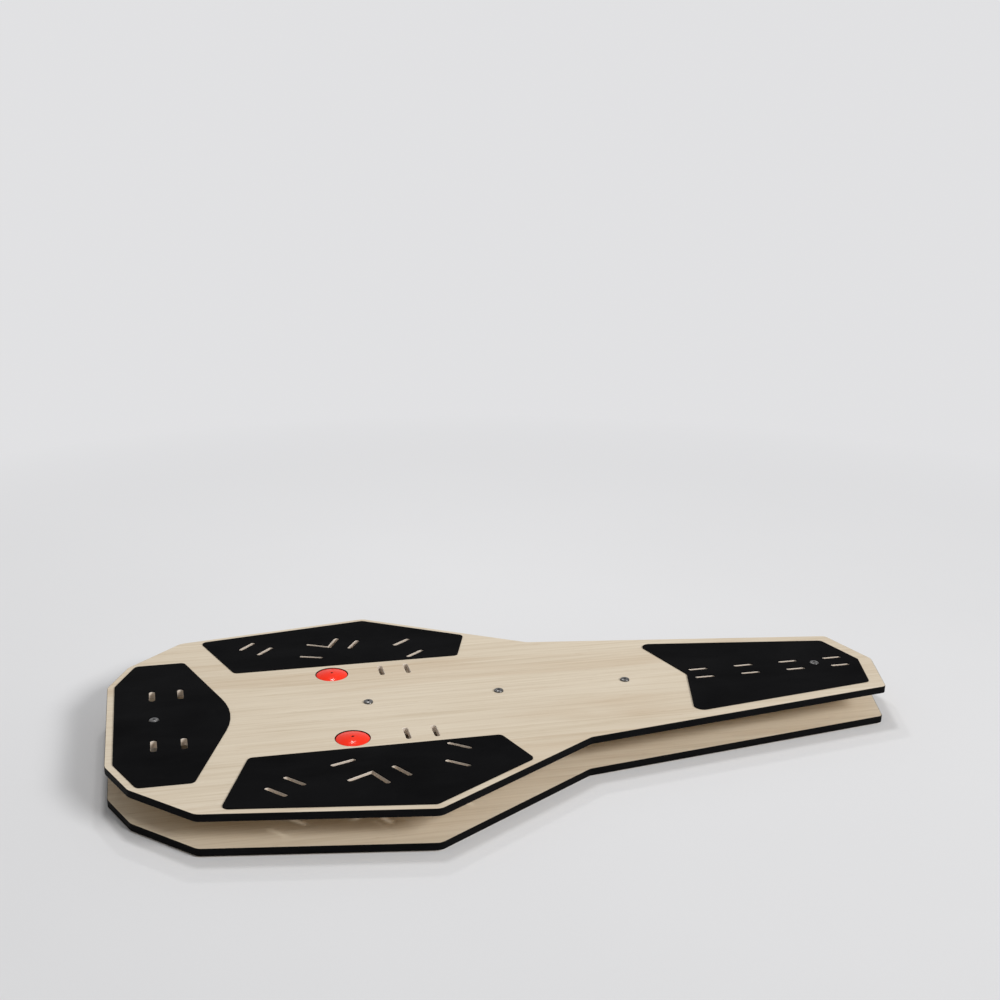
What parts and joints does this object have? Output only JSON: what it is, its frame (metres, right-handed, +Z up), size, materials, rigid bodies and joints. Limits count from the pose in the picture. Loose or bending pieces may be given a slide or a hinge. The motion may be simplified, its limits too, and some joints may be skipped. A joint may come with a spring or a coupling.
{
  "type": "trainer rocker plate",
  "caption": "Rocker plate for an indoor bike trainer: a plywood deck with anti-slip mats and strap slots that rolls on a central shaft over a matching base, sprung by inflated balls.",
  "frame": {"origin": "on the floor, under the middle of the plates' length and width", "axes": "+X along the plates towards the narrow nose that carries the front wheel, +Y to the rider's left, +Z up"},
  "size_m": [1.6269, 0.9036, 0.0905],
  "materials": {
    "birch": "lacquered birch plywood, its edges painted black",
    "mat_rubber": "matte",
    "ball_rubber": "gloss",
    "pad_rubber": "matte",
    "zinc_steel": "zinc plated",
    "dark_steel": "dark, satin",
    "ground_steel": "ground",
    "aluminium": "machined",
    "cast_iron": "black paint over a cast surface",
    "bronze": "machined"
  },
  "bodies": {
    "base": {"base_plate": "birch", "ball_left": "ball_rubber", "ball_right": "ball_rubber", "pivot_housing_1": "cast_iron", "pivot_housing_2": "cast_iron", "pivot_housing_3": "cast_iron", "pivot_housing_4": "cast_iron", "pivot_bush_1": "bronze", "pivot_bush_2": "bronze", "pivot_bush_3": "bronze", "pivot_bush_4": "bronze", "housing_bolt_1": "zinc_steel", "housing_bolt_2": "zinc_steel", "housing_bolt_3": "zinc_steel", "housing_bolt_4": "zinc_steel", "housing_bolt_5": "zinc_steel", "housing_bolt_6": "zinc_steel", "housing_bolt_7": "zinc_steel", "housing_bolt_8": "zinc_steel", "housing_tee_nut_1": "zinc_steel", "housing_tee_nut_2": "zinc_steel", "housing_tee_nut_3": "zinc_steel", "housing_tee_nut_4": "zinc_steel", "housing_tee_nut_5": "zinc_steel", "housing_tee_nut_6": "zinc_steel", "housing_tee_nut_7": "zinc_steel", "housing_tee_nut_8": "zinc_steel", "base_pad_1": "pad_rubber", "base_pad_2": "pad_rubber", "base_pad_3": "pad_rubber", "base_pad_4": "pad_rubber", "base_pad_5": "pad_rubber", "base_pad_6": "pad_rubber", "base_pad_7": "pad_rubber", "base_pad_8": "pad_rubber"},
    "deck": {"deck_plate": "birch", "rear_mat": "mat_rubber", "foot_mat_left": "mat_rubber", "foot_mat_right": "mat_rubber", "front_mat": "mat_rubber", "pivot_shaft": "ground_steel", "shaft_block_1": "aluminium", "shaft_block_2": "aluminium", "shaft_block_3": "aluminium", "shaft_block_4": "aluminium", "shaft_block_5": "aluminium", "deck_bolt_1": "dark_steel", "deck_bolt_2": "dark_steel", "deck_bolt_3": "dark_steel", "deck_bolt_4": "dark_steel", "deck_bolt_5": "dark_steel", "deck_washer_1": "dark_steel", "deck_washer_2": "dark_steel", "deck_washer_3": "dark_steel", "deck_washer_4": "dark_steel", "deck_washer_5": "dark_steel"}
  },
  "joints": [
    {"name": "deck_roll", "type": "hinge", "parent": "base", "child": "deck", "pos_m": [-0.02, 0, 0.0445], "axis": [1, 0, 0], "range_deg": [-6, 6], "stiffness_Nm_per_rad": 1200, "deforming": ["ball_left", "ball_right"]}
  ]
}
